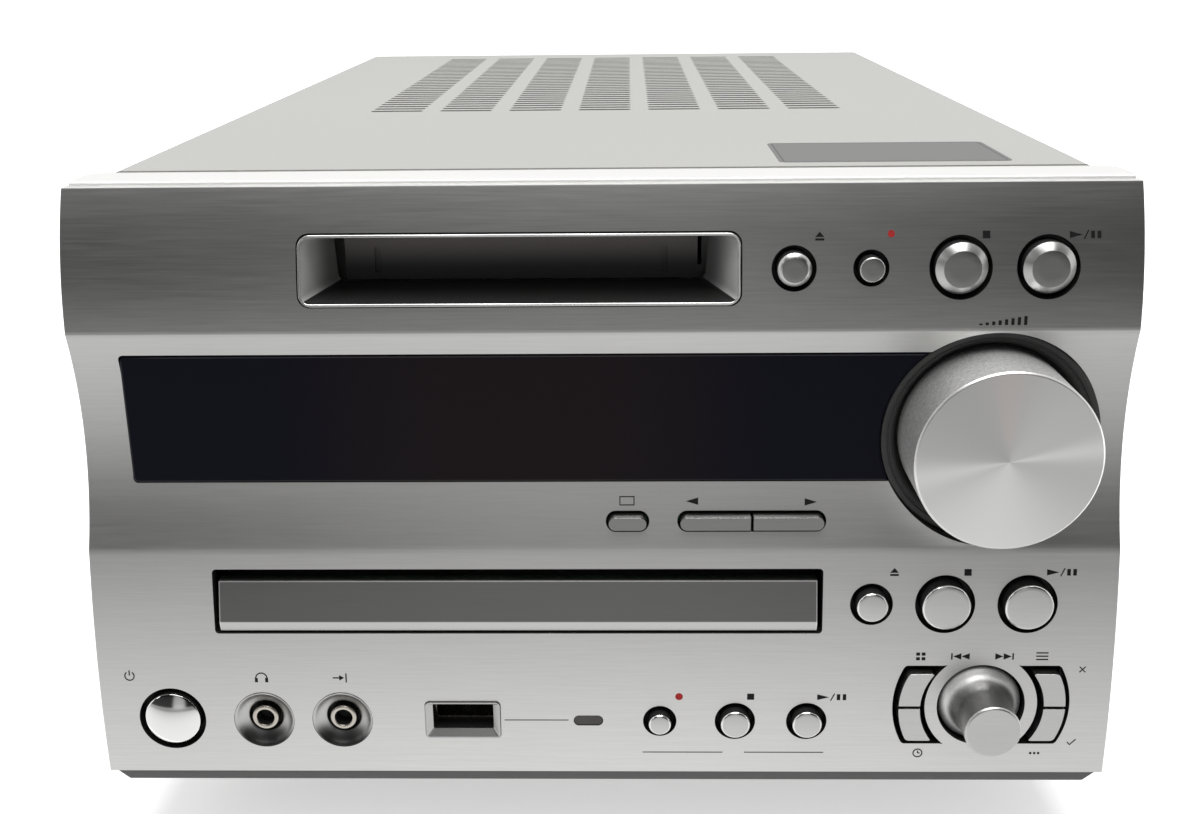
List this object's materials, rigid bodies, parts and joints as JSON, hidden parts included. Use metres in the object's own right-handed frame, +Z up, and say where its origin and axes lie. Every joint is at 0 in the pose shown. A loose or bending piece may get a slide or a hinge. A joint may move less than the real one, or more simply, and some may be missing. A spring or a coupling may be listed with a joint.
{
  "type": "disc and cartridge receiver",
  "caption": "Half-width receiver with a wave-shaped silver fascia, sliding disc tray, cartridge slot, long dark display window, round volume knob and push selector.",
  "frame": {"origin": "on the table under the middle of the object's overall length and width", "axes": "+X to the right as seen from the front, +Y to the rear, +Z up"},
  "size_m": [0.205, 0.358, 0.139],
  "materials": {
    "fascia_metal": "fine horizontal brushing, satin",
    "frame_plastic": "silver paint, satin",
    "window_acrylic": "gloss",
    "board_green": "solder resist",
    "bezel_metal": "satin",
    "flap_plastic": "fine texture",
    "sheet_steel": "zinc plated",
    "ring_plastic": "satin",
    "button_metal": "satin",
    "button_dark": "satin, bright bevel",
    "button_chrome": "mirror",
    "knob_metal": "spun face, satin side",
    "shaft_steel": "turned",
    "jack_metal": "nickel plated",
    "black_plastic": "satin",
    "lamp_plastic": "tinted",
    "tray_metal": "satin",
    "tray_plastic": "fine texture",
    "gear_plastic": "natural",
    "cover_paint": "fine texture, light grey",
    "foot_rubber": "satin",
    "core_steel": "varnished laminations",
    "sink_metal": "black anodised",
    "cap_red": "gloss",
    "cap_black": "gloss"
  },
  "bodies": {
    "case": {"front_fascia": "fascia_metal", "front_frame": "frame_plastic", "display_window": "window_acrylic", "front_board": "board_green", "md_slot_bezel": "bezel_metal", "md_drive": "sheet_steel", "drive_bracket": "sheet_steel", "volume_ring": "ring_plastic", "jack_bowls": "button_metal", "front_jacks": "jack_metal", "usb_bezel": "button_metal", "usb_socket": "jack_metal", "usb_lamp": "lamp_plastic", "loader_frame": "black_plastic", "clamp_bridge": "sheet_steel", "top_cover": "cover_paint", "bottom_chassis": "sheet_steel", "rear_panel": "sheet_steel", "feet": "foot_rubber", "transformer": "core_steel", "main_board": "board_green", "heat_sink": "sink_metal", "speaker_terminals": "black_plastic", "phono_jacks": "black_plastic", "aerial_terminals": "jack_metal", "mains_inlet": "black_plastic"},
    "slot_flap": {"md_slot_flap": "flap_plastic"},
    "md_eject_button": {"md_eject_button": "button_dark"},
    "md_rec_button": {"md_rec_button": "button_dark"},
    "md_stop_button": {"md_stop_button": "button_dark"},
    "md_play_button": {"md_play_button": "button_dark"},
    "cd_eject_button": {"cd_eject_button": "button_metal"},
    "cd_stop_button": {"cd_stop_button": "button_metal"},
    "cd_play_button": {"cd_play_button": "button_metal"},
    "power_button": {"power_button": "button_chrome"},
    "usb_rec_button": {"usb_rec_button": "button_metal"},
    "usb_stop_button": {"usb_stop_button": "button_metal"},
    "usb_play_button": {"usb_play_button": "button_metal"},
    "display_button": {"display_button": "button_metal"},
    "input_left_button": {"input_left_button": "button_metal"},
    "input_right_button": {"input_right_button": "button_metal"},
    "group_button": {"group_button": "button_metal"},
    "timer_button": {"timer_button": "button_metal"},
    "menu_button": {"menu_button": "button_metal"},
    "mode_button": {"mode_button": "button_metal"},
    "volume": {"volume_knob": "knob_metal", "volume_shaft": "shaft_steel"},
    "selector_shaft": {"jog_shaft": "shaft_steel"},
    "selector_knob": {"jog_knob": "knob_metal"},
    "tray": {"tray_front": "tray_metal", "disc_tray": "tray_plastic"},
    "gear": {"loading_gear": "gear_plastic"},
    "traverse": {"traverse": "sheet_steel"},
    "turntable": {"turntable": "black_plastic"},
    "pickup": {"pickup_sled": "black_plastic"},
    "puck": {"clamp_puck": "black_plastic"},
    "speaker_cap_1": {"speaker_cap_1": "cap_red"},
    "speaker_cap_2": {"speaker_cap_2": "cap_black"},
    "speaker_cap_3": {"speaker_cap_3": "cap_red"},
    "speaker_cap_4": {"speaker_cap_4": "cap_black"}
  },
  "joints": [
    {"name": "slot_flap_swing", "type": "hinge", "parent": "case", "child": "slot_flap", "pos_m": [-0.0157, -0.1445, 0.1275], "axis": [1, 0, 0], "range_deg": [0, 80], "stiffness_Nm_per_rad": 0.0002, "springref_deg": -17.19},
    {"name": "md_eject_press", "type": "slide", "parent": "case", "child": "md_eject_button", "axis": [0, 1, 0], "range_m": [0, 0.0006], "stiffness_N_per_m": 400, "springref_m": -0.001},
    {"name": "md_rec_press", "type": "slide", "parent": "case", "child": "md_rec_button", "axis": [0, 1, 0], "range_m": [0, 0.0006], "stiffness_N_per_m": 400, "springref_m": -0.001},
    {"name": "md_stop_press", "type": "slide", "parent": "case", "child": "md_stop_button", "axis": [0, 1, 0], "range_m": [0, 0.0006], "stiffness_N_per_m": 400, "springref_m": -0.001},
    {"name": "md_play_press", "type": "slide", "parent": "case", "child": "md_play_button", "axis": [0, 1, 0], "range_m": [0, 0.0006], "stiffness_N_per_m": 400, "springref_m": -0.001},
    {"name": "cd_eject_press", "type": "slide", "parent": "case", "child": "cd_eject_button", "axis": [0, 1, 0], "range_m": [0, 0.0006], "stiffness_N_per_m": 400, "springref_m": -0.001},
    {"name": "cd_stop_press", "type": "slide", "parent": "case", "child": "cd_stop_button", "axis": [0, 1, 0], "range_m": [0, 0.0006], "stiffness_N_per_m": 400, "springref_m": -0.001},
    {"name": "cd_play_press", "type": "slide", "parent": "case", "child": "cd_play_button", "axis": [0, 1, 0], "range_m": [0, 0.0006], "stiffness_N_per_m": 400, "springref_m": -0.001},
    {"name": "power_press", "type": "slide", "parent": "case", "child": "power_button", "axis": [0, 1, 0], "range_m": [0, 0.0006], "stiffness_N_per_m": 400, "springref_m": -0.001},
    {"name": "usb_rec_press", "type": "slide", "parent": "case", "child": "usb_rec_button", "axis": [0, 1, 0], "range_m": [0, 0.0006], "stiffness_N_per_m": 400, "springref_m": -0.001},
    {"name": "usb_stop_press", "type": "slide", "parent": "case", "child": "usb_stop_button", "axis": [0, 1, 0], "range_m": [0, 0.0006], "stiffness_N_per_m": 400, "springref_m": -0.001},
    {"name": "usb_play_press", "type": "slide", "parent": "case", "child": "usb_play_button", "axis": [0, 1, 0], "range_m": [0, 0.0006], "stiffness_N_per_m": 400, "springref_m": -0.001},
    {"name": "display_press", "type": "slide", "parent": "case", "child": "display_button", "axis": [0, 1, 0], "range_m": [0, 0.0006], "stiffness_N_per_m": 400, "springref_m": -0.001},
    {"name": "input_left_press", "type": "slide", "parent": "case", "child": "input_left_button", "axis": [0, 1, 0], "range_m": [0, 0.0006], "stiffness_N_per_m": 400, "springref_m": -0.001},
    {"name": "input_right_press", "type": "slide", "parent": "case", "child": "input_right_button", "axis": [0, 1, 0], "range_m": [0, 0.0006], "stiffness_N_per_m": 400, "springref_m": -0.001},
    {"name": "group_press", "type": "slide", "parent": "case", "child": "group_button", "axis": [0, 1, 0], "range_m": [0, 0.0006], "stiffness_N_per_m": 400, "springref_m": -0.001},
    {"name": "timer_press", "type": "slide", "parent": "case", "child": "timer_button", "axis": [0, 1, 0], "range_m": [0, 0.0006], "stiffness_N_per_m": 400, "springref_m": -0.001},
    {"name": "menu_press", "type": "slide", "parent": "case", "child": "menu_button", "axis": [0, 1, 0], "range_m": [0, 0.0006], "stiffness_N_per_m": 400, "springref_m": -0.001},
    {"name": "mode_press", "type": "slide", "parent": "case", "child": "mode_button", "axis": [0, 1, 0], "range_m": [0, 0.0006], "stiffness_N_per_m": 400, "springref_m": -0.001},
    {"name": "volume_turn", "type": "hinge", "parent": "case", "child": "volume", "pos_m": [0.0764, -0.155, 0.089], "axis": [0, 1, 0], "continuous": true},
    {"name": "selector_turn", "type": "hinge", "parent": "case", "child": "selector_shaft", "pos_m": [0.07666, -0.155, 0.0342], "axis": [0, 1, 0], "continuous": true},
    {"name": "selector_press", "type": "slide", "parent": "selector_shaft", "child": "selector_knob", "axis": [0, 1, 0], "range_m": [0, 0.0006], "stiffness_N_per_m": 600, "springref_m": -0.001},
    {"name": "tray_slide", "type": "slide", "parent": "case", "child": "tray", "axis": [0, -1, 0], "range_m": [0, 0.13]},
    {"name": "gear_turn", "type": "hinge", "parent": "case", "child": "gear", "pos_m": [-0.0601, -0.131, 0.05235], "axis": [0, 0, 1], "range_deg": [0, 828.61]},
    {"name": "traverse_lift", "type": "slide", "parent": "case", "child": "traverse", "axis": [0, 0, 1], "range_m": [0, 0.0071]},
    {"name": "turntable_spin", "type": "hinge", "parent": "traverse", "child": "turntable", "pos_m": [-0.01685, -0.099, 0.048], "axis": [0, 0, 1], "continuous": true},
    {"name": "pickup_slide", "type": "slide", "parent": "traverse", "child": "pickup", "axis": [0, 1, 0], "range_m": [0, 0.034]},
    {"name": "puck_spin", "type": "hinge", "parent": "case", "child": "puck", "pos_m": [-0.01685, -0.099, 0.061], "axis": [0, 0, 1], "continuous": true},
    {"name": "speaker_cap_1_turn", "type": "hinge", "parent": "case", "child": "speaker_cap_1", "pos_m": [-0.0705, 0.174, 0.102], "axis": [0, 1, 0], "range_deg": [0, 720]},
    {"name": "speaker_cap_2_turn", "type": "hinge", "parent": "case", "child": "speaker_cap_2", "pos_m": [-0.0555, 0.174, 0.102], "axis": [0, 1, 0], "range_deg": [0, 720]},
    {"name": "speaker_cap_3_turn", "type": "hinge", "parent": "case", "child": "speaker_cap_3", "pos_m": [-0.0405, 0.174, 0.102], "axis": [0, 1, 0], "range_deg": [0, 720]},
    {"name": "speaker_cap_4_turn", "type": "hinge", "parent": "case", "child": "speaker_cap_4", "pos_m": [-0.0255, 0.174, 0.102], "axis": [0, 1, 0], "range_deg": [0, 720]}
  ],
  "couplings": [
    {"joint": "gear_turn", "follows": "tray_slide", "rad_per_m": 111.11}
  ]
}
